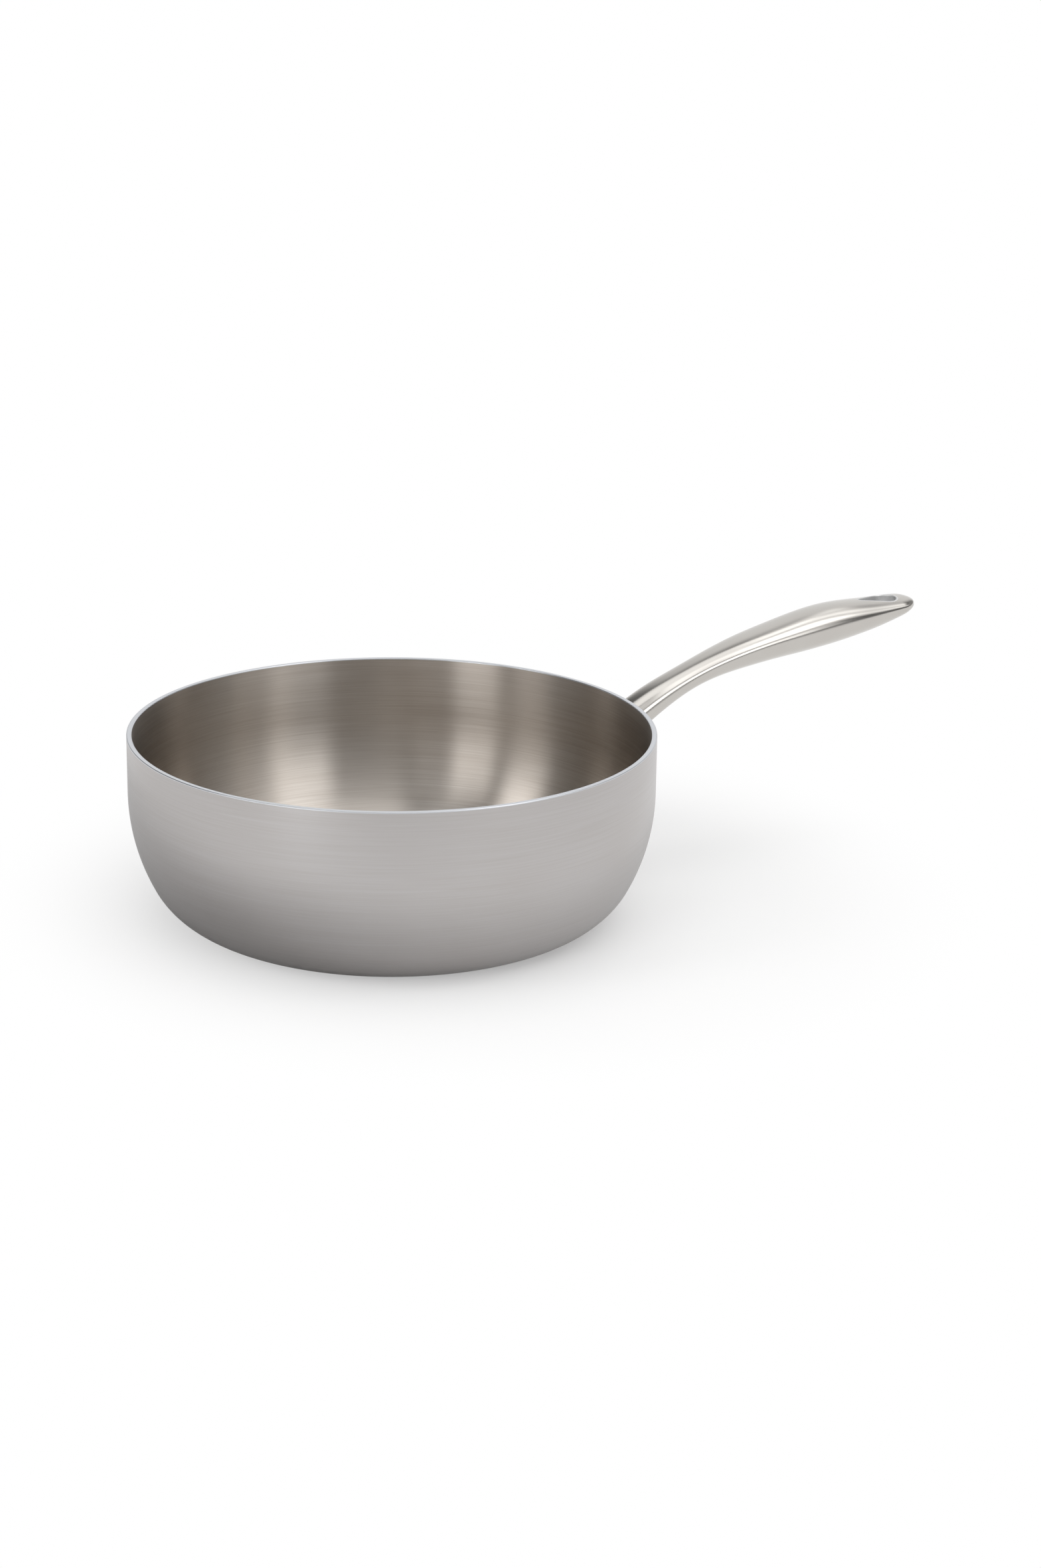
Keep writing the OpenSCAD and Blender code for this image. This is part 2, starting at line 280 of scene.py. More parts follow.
def polished(name, light, dark, roughness):
    """Buffed stainless steel: a soft mirror with a faint haze and stray hairline scratches."""
    material, tree, shader = metal(name, light, roughness)
    place = object_place(tree)
    haze = noise(tree, place, scale=1 / (HAZE_MM * MM), detail=3.0, roughness=0.55)
    along = add(tree, "ShaderNodeMapping", {"Vector": place, "Scale": HAIRLINE_STRETCH})
    hair = noise(tree, along.outputs[0], scale=1 / (HAIRLINE_MM * MM), detail=2.0,
                 roughness=0.6)
    dress(tree, shader, blend(tree, haze, linear(dark), linear(light)), rough_by=haze,
          least=roughness * (1 - HAZE_SPREAD), most=roughness * (1 + HAZE_SPREAD),
          relief=hair, bump=FAINT_BUMP, **NOISE_SPAN)
    return material


# How far the grain moves the roughness of a metal left as it was made
GRAIN_SPREAD = 0.04


def rough_metal(name, light, dark, roughness, grain_mm):
    """Metal left as it was made, with an even grain in its colour and roughness."""
    material, tree, shader = metal(name, light, roughness)
    grain = noise(tree, object_place(tree), scale=1 / (grain_mm * MM), detail=4.0,
                  roughness=0.6)
    dress(tree, shader, blend(tree, grain, linear(dark), linear(light)), rough_by=grain,
          least=roughness - GRAIN_SPREAD, most=roughness + GRAIN_SPREAD, relief=grain,
          bump=FAINT_BUMP)
    return material


# Strongly brushed round the inside: warm grey, with tall streaks of light up the wall
cooking_steel = brushed("brushed_18_10_steel", light="#c8c2bb", dark="#b9b1a9",
                        roughness=0.30, spread=0.02, anisotropic=0.97, cloud_mm=60)
# Satin outside: a cooler, even grey with faint lines and no sharp reflections
shell_steel = brushed("satin_ferritic_steel", light="#bebbba", dark="#b8b4b2",
                      roughness=0.32, spread=0.02, anisotropic=0.3, cloud_mm=45)
# Buffed handle: a soft bright band of light along it, on silvery grey
handle_steel = polished("buffed_18_10_steel", light="#c7c4bf", dark="#c1bdb8",
                        roughness=0.17)
# Unpolished tube: dull grey walls in the hanging hole
sleeve_steel = rough_metal("drawn_steel_tube", light="#e4e4e4", dark="#dedede",
                           roughness=0.45, grain_mm=0.6)
# Cut aluminium: a pale, slightly blue sheet inside the steel
core_aluminium = rough_metal("cut_pure_aluminium", light="#d6d8dc", dark="#cbced3",
                             roughness=0.30, grain_mm=0.3)
# Bonding alloy: a shade darker than the core beside it
bond_alloy = rough_metal("cut_aluminium_alloy", light="#cdd0d4", dark="#c2c5ca",
                         roughness=0.33, grain_mm=0.3)
# Weld metal: dark and scaly from the heat
weld_metal = rough_metal("resistance_weld_steel", light="#8c8a87", dark="#6f6c68",
                         roughness=0.5, grain_mm=0.4)


# ---- Bowl: each layer's half section, turned round the axis with Geometry Nodes ----

HEEL_STEPS = 36
CURVE_STEPS = 28
RIM_EDGE_STEPS = 5
# The layers touch, so they all have the same steps
STEPS_ROUND = 288
# Points closer than this, in millimetres, are joined where the section meets the axis
WELD_DISTANCE = 0.001
# Edges that bend more than this stay sharp
SHARP_ANGLE = math.radians(35)


def arc(centre, radius, start, end, steps):
    """Points of an arc, from one angle to the other."""
    return [(centre[0] + radius * math.cos(a), centre[1] + radius * math.sin(a))
            for a in np.linspace(start, end, steps + 1)]


def sheet_side(depth, ease, toward):
    """One face of the sheet from the axis to the rim, depth inside the bowl's outer face.

    ease is the radius of its rim edge, and toward is -1 where the metal lies inward.
    """
    points = [(0.0, depth), (BASE_R, depth)]
    points += arc((BASE_R, HEEL_R), HEEL_R - depth, -math.pi / 2, -WALL_TURN,
                  HEEL_STEPS)[1:]
    points += arc((BOWL_R - WALL_CURVE_R, BEND_Z), WALL_CURVE_R - depth, -WALL_TURN, 0,
                  CURVE_STEPS)[1:]
    wall = BOWL_R - depth
    if not ease:
        return points + [(wall, BOWL_H)]
    edge = arc((wall + toward * ease, BOWL_H - ease), ease,
               0 if toward < 0 else math.pi, math.pi / 2, RIM_EDGE_STEPS)
    return points + edge


def half_section(outer, inner):
    """A layer's half section, from the axis out and back.

    The sheet's two outermost faces have an eased edge at the rim.
    """
    out_side = sheet_side(outer, RIM_EASE_R if outer == 0 else 0, -1)
    in_side = sheet_side(inner, RIM_EASE_R if inner == LINER_IN else 0, 1)
    return out_side + in_side[::-1]


# Inputs of the Geometry Nodes tree that turns a layer, with the kind of each
TURNING_INPUTS = [
    ("Geometry", "Geometry"),
    ("Turning Radius", "Float"),
    ("Steps Round", "Int"),
    ("Weld Distance", "Float"),
    ("Sharp Angle", "Float"),
    ("Finish", "Material"),
]


def turning_tree():
    """Turns a half section round the axis, welds it where it meets, and gives its finish."""
    tree = bpy.data.node_groups.new("turned_sheet", "GeometryNodeTree")
    tree.interface.new_socket("Geometry", in_out="OUTPUT", socket_type="NodeSocketGeometry")
    for name, kind in TURNING_INPUTS:
        tree.interface.new_socket(name, in_out="INPUT", socket_type="NodeSocket" + kind)
    given = add(tree, "NodeGroupInput").outputs
    section = add(tree, "GeometryNodeMeshToCurve", {"Mesh": given["Geometry"]})
    path = add(tree, "GeometryNodeCurvePrimitiveCircle", {
        "Resolution": given["Steps Round"], "Radius": given["Turning Radius"]})
    swept = add(tree, "GeometryNodeCurveToMesh", {
        "Curve": path.outputs["Curve"], "Profile Curve": section.outputs["Curve"]})
    outward = add(tree, "GeometryNodeFlipFaces", {"Mesh": swept.outputs["Mesh"]})
    welded = add(tree, "GeometryNodeMergeByDistance", {
        "Geometry": outward.outputs["Mesh"], "Distance": given["Weld Distance"]})
    angle = add(tree, "GeometryNodeInputMeshEdgeAngle")
    sharp = add(tree, "FunctionNodeCompare", {
        "A": angle.outputs["Unsigned Angle"], "B": given["Sharp Angle"]},
        operation="GREATER_THAN")
    smooth_faces = add(tree, "GeometryNodeSetShadeSmooth", {
        "Geometry": welded.outputs["Geometry"], "Shade Smooth": True}, domain="FACE")
    edged = add(tree, "GeometryNodeSetShadeSmooth", {
        "Geometry": smooth_faces.outputs["Geometry"], "Selection": sharp.outputs[0],
        "Shade Smooth": False}, domain="EDGE")
    real = add(tree, "GeometryNodeRealizeInstances", {"Geometry": edged.outputs["Geometry"]})
    painted = add(tree, "GeometryNodeSetMaterial", {
        "Geometry": real.outputs["Geometry"], "Material": given["Finish"]})
    add(tree, "NodeGroupOutput", {"Geometry": painted.outputs["Geometry"]})
    return tree


def set_input(modifier, name, value):
    """Sets a Geometry Nodes modifier's input by its socket's identifier."""
    for item in modifier.node_group.interface.items_tree:
        if item.name == name and item.in_out == "INPUT":
            modifier[item.identifier] = value


def finish_piece(piece, node):
    """The piece stands for that CAD node, which it hides, and rides on the pan's one body."""
    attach(piece, "root")
    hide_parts(node)


def turned_piece(name, node, outer, inner, material, slot):
    """One layer of the bowl, turned by the Geometry Nodes and kept as a plain mesh."""
    # A swept section's own up is the room's down
    section = [((r - BOWL_R) * MM, -z * MM) for r, z in half_section(outer, inner)]
    count = len(section)
    profile = bpy.data.meshes.new(name + "_section")
    profile.from_pydata([(x, z, 0.0) for x, z in section],
                        [(i, i + 1) for i in range(count - 1)], [])
    holder = bpy.data.objects.new(name + "_holder", profile)
    bpy.context.collection.objects.link(holder)
    modifier = holder.modifiers.new("turn", "NODES")
    modifier.node_group = TURNING
    set_input(modifier, "Turning Radius", BOWL_R * MM)
    set_input(modifier, "Steps Round", STEPS_ROUND)
    set_input(modifier, "Weld Distance", WELD_DISTANCE * MM)
    set_input(modifier, "Sharp Angle", SHARP_ANGLE)
    set_input(modifier, "Finish", material)
    evaluated = holder.evaluated_get(bpy.context.evaluated_depsgraph_get())
    mesh = bpy.data.meshes.new_from_object(evaluated)
    bpy.data.objects.remove(holder)
    piece = bpy.data.objects.new(name, mesh)
    bpy.context.collection.objects.link(piece)
    finish_piece(piece, node)


TURNING = turning_tree()
# Piece, CAD node, depths of its outer and inner face, material, slot
BOWL_LAYERS = [
    ("cooking_surface_brushed", "cooking_surface", INNER_BOND_IN, LINER_IN, cooking_steel,
     "cooking_steel"),
    ("inner_bond_sheet", "inner_bond_layer", CORE_IN, INNER_BOND_IN, bond_alloy, "bond_alloy"),
    ("core_sheet", "aluminium_core", OUTER_BOND_IN, CORE_IN, core_aluminium,
     "core_aluminium"),
    ("outer_bond_sheet", "outer_bond_layer", SHELL_IN, OUTER_BOND_IN, bond_alloy,
     "bond_alloy"),
    ("outer_shell_satin", "outer_shell", 0.0, SHELL_IN, shell_steel, "shell_steel"),
]
for layer in BOWL_LAYERS:
    turned_piece(*layer)


# ---- Handle: the CAD model's form, with finer rings and eased curvature ----

def through_stations(column, s):
    """The smooth curve through one column of the stations, straight past both ends."""
    at, size = STATIONS[:, 0], STATIONS[:, column]
    rises = np.diff(size) / np.diff(at)
    before, after = np.diff(at)[:-1], np.diff(at)[1:]
    middle = (rises[:-1] * after + rises[1:] * before) / (before + after)
    slopes = np.concatenate([rises[:1], middle, rises[-1:]])
    i = np.clip(np.searchsorted(at, s, side="right") - 1, 0, len(at) - 2)
    length = at[i + 1] - at[i]
    t = np.clip((s - at[i]) / length, 0, 1)
    inside = ((2 * t ** 3 - 3 * t ** 2 + 1) * size[i] + (3 * t ** 2 - 2 * t ** 3) * size[i + 1]
              + (t ** 3 - 2 * t ** 2 + t) * length * slopes[i]
              + (t ** 3 - t ** 2) * length * slopes[i + 1])
    return (inside + np.minimum(s - at[0], 0) * slopes[0]
            + np.maximum(s - at[-1], 0) * slopes[-1])


def line_rise(s):
    """Angle of the centre line above level, s along it from the wall."""
    return FOOT_RISE - np.clip(s - FOOT_RUN, 0, BEND_L) / BEND_R


def line_point(s):
    """The centre line: a straight run, the bend, and the straight grip."""
    run, angle, on = np.minimum(s, FOOT_RUN), line_rise(s), np.maximum(s - FOOT_RUN - BEND_L, 0)
    x = (BOWL_R + run * math.cos(FOOT_RISE)
         + BEND_R * (math.sin(FOOT_RISE) - np.sin(angle)) + on * np.cos(angle))
    z = (BOWL_H - FOOT_DROP + run * math.sin(FOOT_RISE)
         + BEND_R * (np.cos(angle) - math.cos(FOOT_RISE)) + on * np.sin(angle))
    return np.stack([x, z])


# A mirror shows every jump in curvature, so each curve is averaged along the handle, over
# this reach either way and with this spread, at every millimetre
EASE_REACH = 12
EASE_SPREAD = 5
EASE_STEPS = np.linspace(-EASE_REACH, EASE_REACH, 2 * EASE_REACH + 1)
EASE_WEIGHTS = np.exp(-(EASE_STEPS / EASE_SPREAD) ** 2 / 2)
EASE_WEIGHTS /= EASE_WEIGHTS.sum()


def eased(curve, s):
    """The curve's weighted average about s."""
    return sum(weight * curve(s + step) for step, weight in zip(EASE_STEPS, EASE_WEIGHTS))


def flare(s):
    """How much of the foot's flare is left: a hollow curve that ends in a square edge."""
    t = np.minimum(np.maximum(s, FLARE_EDGE) / FLARE_L, 1)
    return 1 - np.sqrt(1 - (1 - t) ** 2)


def tip_left(s, length, inset):
    """How much of a size is left where it rounds off towards the tip."""
    t = np.maximum(s - (HANDLE_L - length), 0) / (length - inset)
    return np.sqrt(np.maximum(1 - t ** 2, 0))


def half_width(s, inset):
    """Half the handle's width, inset inside its skin."""
    return ((eased(lambda a: through_stations(1, a), s) + FLARE_W * flare(s) - inset)
            * tip_left(s, TIP_SIDE_L, inset))


def skin(s, turn, inset=0.0):
    """Points of the handle's skin, turned round each section from the right over the top."""
    c, v = np.cos(turn), np.sin(turn)
    power = 2 / SECTION_POWER
    up = ((eased(lambda a: through_stations(2, a), s) + FLARE_H * flare(s) - inset)
          * tip_left(s, TIP_TOP_L, inset))
    down = ((eased(lambda a: through_stations(3, a), s) + FLARE_H * flare(s) - inset)
            * tip_left(s, TIP_UNDER_L, inset))
    y = half_width(s, inset) * np.sign(c) * np.abs(c) ** power
    h = np.where(v > 0, up, down) * np.sign(v) * np.abs(v) ** power
    t = np.clip(s / LEAN_L, 0, 1)
    lean = eased(line_rise, s) * (3 * t ** 2 - 2 * t ** 3)
    x, z = eased(line_point, s)
    return np.stack([x - h * np.sin(lean), y, z + h * np.cos(lean)], axis=-1)


def wall_gap(point):
    """Distance of points outside the bowl's outer face, level with them."""
    radius = np.hypot(point[..., 0], point[..., 1])
    below = np.minimum(point[..., 2] - BEND_Z, 0)
    return np.where(
        below < 0,
        np.hypot(radius - (BOWL_R - WALL_CURVE_R), below) - WALL_CURVE_R,
        radius - BOWL_R)


# Where along the handle its skin may leave the wall, and how often that run is halved
WALL_SEARCH = (-8.0, 14.0)
WALL_HALVINGS = 40


def leaves_wall(turn, gap, inset):
    """Where along the handle its skin stands that gap off the wall, for each turn."""
    low, high = (np.full_like(turn, end) for end in WALL_SEARCH)
    for _ in range(WALL_HALVINGS):
        middle = (low + high) / 2
        inside = wall_gap(skin(middle, turn, inset)) < gap
        low, high = np.where(inside, middle, low), np.where(inside, high, middle)
    return (low + high) / 2


# Small steps along and round the skin, across which its normals are measured
NORMAL_STEP = 0.05
NORMAL_TURN = math.radians(0.4)


def skin_normals(s, turn, first, last):
    """Outward normals of the skin; turn stays within its half, first to last."""
    s = np.minimum(s, HANDLE_L - 2 * NORMAL_STEP)
    low_turn = np.maximum(turn - NORMAL_TURN, first)
    high_turn = np.minimum(turn + NORMAL_TURN, last)
    along = skin(s + NORMAL_STEP, turn) - skin(s - NORMAL_STEP, turn)
    around = skin(s, high_turn) - skin(s, low_turn)
    normal = np.cross(around, along)
    return normal / np.linalg.norm(normal, axis=-1, keepdims=True)


def teardrop(count_round, count_point, count_flank):
    """The hanging hole's outline, from the tip side round: points and outward normals."""
    tilt = math.asin((HOLE_R - HOLE_POINT_R) / HOLE_TAPER_L)
    reach = math.pi / 2 + tilt
    points, normals = [], []

    def put(centre, radius, a):
        """A point of a circle whose centre lies on the handle's middle."""
        normals.append((math.cos(a), math.sin(a)))
        points.append((centre + radius * math.cos(a), radius * math.sin(a)))

    def turn_round(centre, radius, start, end, count):
        """A stretch of a circle, without its last point."""
        for a in np.linspace(start, end, count, endpoint=False):
            put(centre, radius, a)

    def flank(start_centre, start_r, end_centre, end_r, a, count):
        """The straight stretch between two circles, without its last point."""
        for t in np.linspace(0, 1, count, endpoint=False):
            put(start_centre + t * (end_centre - start_centre),
                start_r + t * (end_r - start_r), a)

    turn_round(0.0, HOLE_R, -reach, reach, count_round)
    flank(0.0, HOLE_R, -HOLE_TAPER_L, HOLE_POINT_R, reach, count_flank)
    turn_round(-HOLE_TAPER_L, HOLE_POINT_R, reach, 2 * math.pi - reach, count_point)
    flank(-HOLE_TAPER_L, HOLE_POINT_R, 0.0, HOLE_R, -reach, count_flank)
    points = np.array(points) + (HOLE_AT, 0.0)
    return points, np.array(normals)


def turn_at(s, y, inset, below):
    """The turn at which the skin's point stands s along and y across."""
    side = half_width(s, inset)
    turn = np.arccos(np.sign(y) * (np.abs(y) / side) ** (SECTION_POWER / 2))
    return 2 * math.pi - turn if below else turn


# Steps of one half's two grids: round the body, along each seam beside the hole, round the
# tip, from the border in to the hole, and along the body
ROUND_STEPS = 64
SEAM_STEPS = 26
TIP_STEPS = 28
RINGS_TO_HOLE = 20
BODY_RINGS = 140
# Above 1, the body's rings lie closer together in the flare
RING_CROWDING = 1.25
# The grid about the hole starts here
HOLE_REGION = HOLE_AT - HOLE_TAPER_L - 8
# Steps round the hole's round end, its point and each flank: to aim the rays, and drawn
HOLE_STEPS = (200, 80, 200)
SLEEVE_STEPS = (56, 16, 26)
SLEEVE_EDGE_STEPS = 7
# Where the rays about the hole start; for them 18 mm along count as much as one radian
RAY_START = HOLE_AT - 9.0
RAY_SCALE = np.array([1 / 18, 1.0])


def half_places(inset, below):
    """The two grids that cover one half's skin: the body, then the ring about the hole."""
    first = math.pi if below else 0.0
    turns = first + np.linspace(0, math.pi, ROUND_STEPS + 1)
    start = leaves_wall(turns, FOOT_T + WELD_GAP, inset)
    reach = np.linspace(0, 1, BODY_RINGS + 1) ** RING_CROWDING
    body_s = start + reach[:, None] * (HOLE_REGION - start)
    body = np.stack([body_s, np.broadcast_to(turns, body_s.shape)], axis=-1)

    end = HANDLE_L - inset
    seam_s = HOLE_REGION + (end - HOLE_REGION) * np.sin(
        np.linspace(0, math.pi / 2, SEAM_STEPS + 1))
    tip_turns = first + np.linspace(0, math.pi, TIP_STEPS + 1)
    # Round the hole's region: the body's last ring, one seam, the tip and the other seam
    border = np.concatenate([
        np.stack([np.full(ROUND_STEPS, HOLE_REGION), turns[::-1][:-1]], axis=-1),
        np.stack([seam_s[:-1], np.full(SEAM_STEPS, first)], axis=-1),
        np.stack([np.full(TIP_STEPS, end), tip_turns[:-1]], axis=-1),
        np.stack([seam_s[::-1][:-1], np.full(SEAM_STEPS, first + math.pi)], axis=-1)])
    points, normals = teardrop(*HOLE_STEPS)
    rim = points + normals * SLEEVE_T
    rim_turn = turn_at(rim[:, 0], rim[:, 1], inset, below)
    centre = np.array([RAY_START, first + math.pi / 2])
    # Rays from a point in the hole join each place of the border to one on the hole's edge
    rays = (border - centre) * RAY_SCALE
    edge = (np.stack([rim[:, 0], rim_turn], axis=-1) - centre) * RAY_SCALE
    ray_angle = np.arctan2(rays[:, 1], rays[:, 0])
    edge_angle = np.arctan2(edge[:, 1], edge[:, 0])
    order = np.argsort(edge_angle)
    hole_s = np.interp(ray_angle, edge_angle[order], rim[order, 0], period=2 * math.pi)
    hole_turn = np.interp(ray_angle, edge_angle[order], rim_turn[order], period=2 * math.pi)
    hole = np.stack([hole_s, hole_turn], axis=-1)
    part = np.linspace(0, 1, RINGS_TO_HOLE + 1)[:, None, None]
    ring = border * (1 - part) + hole * part
    return body, ring


def grid_faces(rows, columns, first, closed):
    """Quads of a grid of points, numbered from first."""
    across = columns if closed else columns - 1
    faces = []
    for k in range(rows - 1):
        for i in range(across):
            a, b = first + k * columns + i, first + k * columns + (i + 1) % columns
            faces.append((a, b, b + columns, a + columns))
    return faces


# Points count as one where they agree to this many parts of a millimetre
SAME_POINT = 1e5
# Coarser, for the line on which the two grids of a skin meet
SAME_ON_SKIN = 1e4


def welded(points, faces):
    """Joins equal points.

    Returns the kept points' numbers, the new faces, and which face each of them was.
    """
    keys = np.round(points * SAME_POINT).astype(np.int64)
    _, kept, new = np.unique(keys, axis=0, return_index=True, return_inverse=True)
    new = new.reshape(-1)
    clean, origin = [], []
    for place, face in enumerate(faces):
        corners = []
        for corner in face:
            if int(new[corner]) not in corners:
                corners.append(int(new[corner]))
        if len(corners) > 2:
            clean.append(corners)
            origin.append(place)
    return kept, clean, origin


def mesh_piece(name, points, faces, normals, smooth_faces, material, node):
    """A closed mesh in millimetres; its first smooth_faces faces take the given normals, and
    the others are flat."""
    kept, clean, origin = welded(points, faces)
    mesh = bpy.data.meshes.new(name)
    mesh.from_pydata((points[kept] * MM).tolist(), [], clean)
    mesh.materials.append(material)
    corner_normals = []
    for place, face in zip(origin, clean):
        for corner in face:
            corner_normals.append(
                normals[kept[corner]] if place < smooth_faces else (0.0, 0.0, 0.0))
    mesh.polygons.foreach_set("use_smooth", [place < smooth_faces for place in origin])
    mesh.normals_split_custom_set([tuple(float(c) for c in n) for n in corner_normals])
    piece = bpy.data.objects.new(name, mesh)
    bpy.context.collection.objects.link(piece)
    finish_piece(piece, node)


def handle_half(name, node, below):
    """One pressed half: its outer skin, its inner skin, and walls along every open edge."""
    first = math.pi if below else 0.0
    skins, normals, faces = [], [], []
    for inset in (0.0, HANDLE_WALL):
        body, ring = half_places(inset, below)
        both = np.concatenate([body.reshape(-1, 2), ring.reshape(-1, 2)])
        skins.append(skin(both[:, 0], both[:, 1], inset))
        normals.append(skin_normals(both[:, 0], both[:, 1], first, first + math.pi))
        if inset == 0:
            faces = grid_faces(BODY_RINGS + 1, ROUND_STEPS + 1, 0, False)
            count = body.shape[0] * body.shape[1]
            faces += [face[::-1] for face in grid_faces(*ring.shape[:2], count, True)]
    total = len(skins[0])
    # The two grids share the line where the hole's region starts, so they are joined first
    keys = np.round(skins[0] * SAME_ON_SKIN).astype(np.int64)
    _, lead, joined = np.unique(keys, axis=0, return_index=True, return_inverse=True)
    lead_of = lead[joined.reshape(-1)]
    outer = [tuple(int(lead_of[c]) for c in face) for face in faces]
    uses = {}
    for face in outer:
        for a, b in zip(face, face[1:] + face[:1]):
            if a != b:
                uses.setdefault((min(a, b), max(a, b)), []).append((a, b))
    open_edges = [found[0] for found in uses.values() if len(found) == 1]
    inner = [tuple(c + total for c in face[::-1]) for face in outer]
    walls = [(b, a, a + total, b + total) for a, b in open_edges]
    mesh_piece(name, np.concatenate(skins), outer + inner + walls,
               np.concatenate(normals), len(outer), handle_steel, node)


handle_half("handle_upper_pressing", "handle_upper_half", False)
handle_half("handle_lower_pressing", "handle_lower_half", True)


def sleeve():
    """The sleeve of the hanging hole, flush with the skin, its two edges rolled in."""
    points, outward = teardrop(*SLEEVE_STEPS)
    up = np.array([-math.sin(GRIP_RISE), 0.0, math.cos(GRIP_RISE)])
    rows, normals = [], []

    def row(grow, sink, lean, below):
        """A ring grow outside the hole and sink inside the skin, its normals leaned inward."""
        place = points + outward * grow
        turn = turn_at(place[:, 0], place[:, 1], 0.0, below)
        on = skin(place[:, 0], turn)
        sign = -1.0 if below else 1.0
        first = math.pi if below else 0.0
        flat = skin_normals(place[:, 0], turn, first, first + math.pi)
        inward = -np.stack([outward[:, 0] * math.cos(GRIP_RISE), outward[:, 1],
                            outward[:, 0] * math.sin(GRIP_RISE)], axis=-1)
        rows.append(on - sign * sink * up)
        normal = flat * math.cos(lean) + inward * math.sin(lean)
        normals.append(normal / np.linalg.norm(normal, axis=-1, keepdims=True))

    profile = [(SLEEVE_T, 0.0, 0.0)]
    profile += [(SLEEVE_EDGE_R * (1 - math.sin(a)), SLEEVE_EDGE_R * (1 - math.cos(a)), a)
                for a in np.linspace(0, math.pi / 2, SLEEVE_EDGE_STEPS)]
    for grow, sink, lean in profile:
        row(grow, sink, lean, False)
    for grow, sink, lean in profile[::-1]:
        row(grow, sink, lean, True)
    count = len(points)
    faces = grid_faces(len(rows), count, 0, True)
    smooth_count = len(faces)
    last = (len(rows) - 1) * count
    faces += [(last + i, last + (i + 1) % count, (i + 1) % count, i) for i in range(count)]
    mesh_piece("hanging_hole_liner", np.concatenate(rows), faces, np.concatenate(normals),
               smooth_count, sleeve_steel, "hanging_hole_sleeve")


sleeve()


# A ring this far inside the foot plate's outline keeps its face on the wall's curve
FOOT_FACE_INSET = 4.0
FOOT_EDGE_STEPS = 6
FOOT_SIDE_STEPS = 8


def foot_profile():
    """Gap off the wall and inset inside the skin: over the face, its eased edge, the side."""
    face = [(WELD_GAP, FOOT_FACE_INSET), (WELD_GAP, FOOT_EDGE_R)]
    edge = [(WELD_GAP + FOOT_EDGE_R * (1 - math.sin(a)), FOOT_EDGE_R * (1 - math.cos(a)))
            for a in np.linspace(math.pi / 2, 0, FOOT_EDGE_STEPS)[1:]]
    side = [(gap, 0.0) for gap in np.linspace(
        WELD_GAP + FOOT_EDGE_R, WELD_GAP + FOOT_T, FOOT_SIDE_STEPS)[1:]]
    return face + edge + side


def foot():
    """The foot plate: a curved plate in the flare's outline, its outer edge eased."""
    count = 2 * ROUND_STEPS
    turns = np.linspace(0, 2 * math.pi, count, endpoint=False)
    rows = [skin(leaves_wall(turns, gap, inset), turns, inset)
            for gap, inset in foot_profile()]
    grid = np.concatenate(rows)
    faces = grid_faces(len(rows), count, 0, True)
    middle_line = line_point(np.array([0.0, FOOT_T]))
    last = (len(rows) - 1) * count
    near = np.array([[BOWL_R + WELD_GAP, 0.0, middle_line[1, 0]]])
    far = np.array([[BOWL_R + WELD_GAP + FOOT_T, 0.0, middle_line[1, 1]]])
    faces += [(len(grid), (i + 1) % count, i) for i in range(count)]
    faces += [(len(grid) + 1, last + i, last + (i + 1) % count) for i in range(count)]
    mesh_piece("foot_plate_curved", np.concatenate([grid, near, far]), faces, None, 0,
               handle_steel, "foot_plate")


foot()

# The weld nuggets keep their CAD solids
nuggets = frame["nodes"]["weld_nuggets"]
nuggets.data.materials.clear()
nuggets.data.materials.append(weld_metal)


# ---- Studio: a pale floor, soft light and the photograph's view ----

def light_path_any(tree, *kinds):
    """1 where the ray is of any of these kinds."""
    path = add(tree, "ShaderNodeLightPath")
    total = path.outputs[kinds[0]]
    for kind in kinds[1:]:
        total = add(tree, "ShaderNodeMath", {0: total, 1: path.outputs[kind]},
                    operation="MAXIMUM").outputs[0]
    return total


def white_past(tree, near, fade_round):
    """The near shader, fading to plain white between two distances from a middle, in metres."""
    middle, start, end = fade_round
    away = add(tree, "ShaderNodeVectorMath", {0: object_place(tree), 1: middle},
               operation="DISTANCE")
    fade = add(tree, "ShaderNodeMapRange", {
        "Value": away.outputs["Value"], "From Min": start, "From Max": end},
        interpolation_type="SMOOTHSTEP")
    white = add(tree, "ShaderNodeEmission", {"Color": (1, 1, 1, 1), "Strength": 1.0})
    return add(tree, "ShaderNodeMixShader", {
        "Fac": fade.outputs[0], 1: near, 2: white.outputs[0]}).outputs[0]


PAPER = "#dcdcdc"
# Light added to the paper for the camera, so that only the shadow is darker than white
PAPER_LIFT = 0.3
# Middle, start and end of the fade that the camera sees, round the bowl's base
SEEN_FADE = ((0.05, 0.0, 0.0), 0.08, 0.24)
# The same for the paper that the metal shows, which stays matt further out
MIRRORED_FADE = ((-0.02, 0.09, 0.0), 0.15, 0.30)
# Half the side of the sheet, in metres
FLOOR_HALF = 14.0


